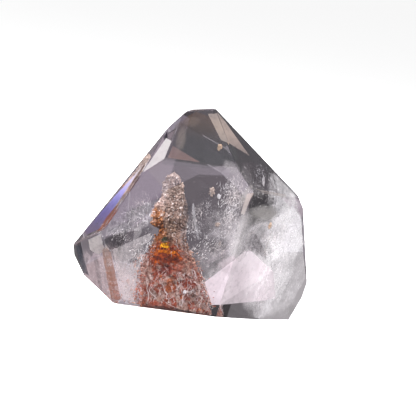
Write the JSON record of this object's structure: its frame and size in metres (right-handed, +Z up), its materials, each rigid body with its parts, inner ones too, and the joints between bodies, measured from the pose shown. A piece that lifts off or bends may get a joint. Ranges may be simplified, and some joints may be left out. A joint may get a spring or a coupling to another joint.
{
  "type": "garden quartz crystal",
  "caption": "Cut and polished clear quartz freeform with a mound of red-brown minerals grown inside it, resting on a flat facet.",
  "frame": {"origin": "under the middle of the stone, on the facet it rests on", "axes": "+Z up through the tip, +X to the viewer's right, front window towards -Y"},
  "size_m": [0.0372, 0.0288, 0.032],
  "materials": {
    "clear_quartz": "polished, clear and colourless with faint whitish veils",
    "garden_minerals": "granular, rust red to pinkish beige, matt"
  },
  "bodies": {
    "root": {"quartz": "clear_quartz", "garden": "garden_minerals"}
  },
  "joints": []
}
